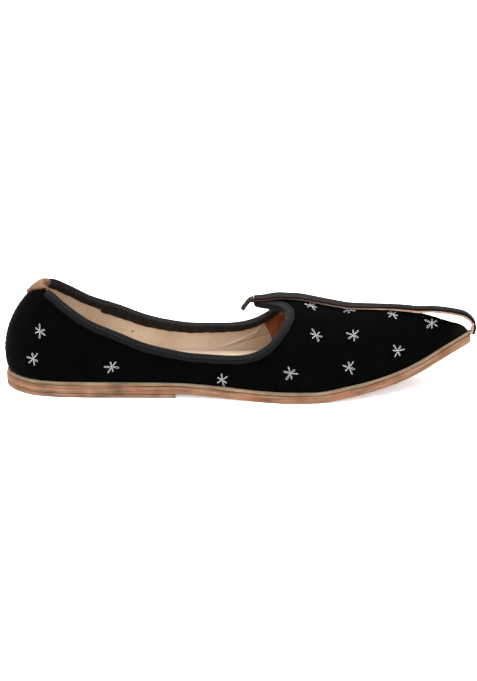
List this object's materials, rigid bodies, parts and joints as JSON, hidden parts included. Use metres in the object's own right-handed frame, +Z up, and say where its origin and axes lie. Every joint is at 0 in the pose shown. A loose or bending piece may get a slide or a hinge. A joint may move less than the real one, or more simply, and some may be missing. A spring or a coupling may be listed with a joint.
{
  "type": "mojari shoe",
  "caption": "Flat leather slip-on shoe with a pointed upturned toe, a velvet-covered upper with embroidered stars, a bound collar and a looped strap over the vamp.",
  "frame": {"origin": "middle of the underside of the shoe's box, on the floor", "axes": "+X towards the toe, +Y across the shoe, +Z up"},
  "size_m": [0.289, 0.0844, 0.0653],
  "materials": {
    "velvet": "matt black velvet with embroidered silver stars",
    "band_leather": "smooth dark grey leather",
    "strap_leather": "worn dark leather with brown cut edges",
    "tan_leather": "undyed tan leather",
    "sole_leather": "vegetable-tanned sole leather with a striated cut edge",
    "rand_leather": "pale grey-beige leather",
    "insole_leather": "pale tan lining leather"
  },
  "bodies": {
    "root": {"heel_lift": "sole_leather", "outsole": "sole_leather", "midsole": "rand_leather", "insole": "insole_leather", "upper": "velvet", "collar_band": "band_leather", "heel_tab": "tan_leather", "toe_strap_backing": "tan_leather", "toe_strap": "strap_leather", "strap_tail": "strap_leather"}
  },
  "joints": []
}
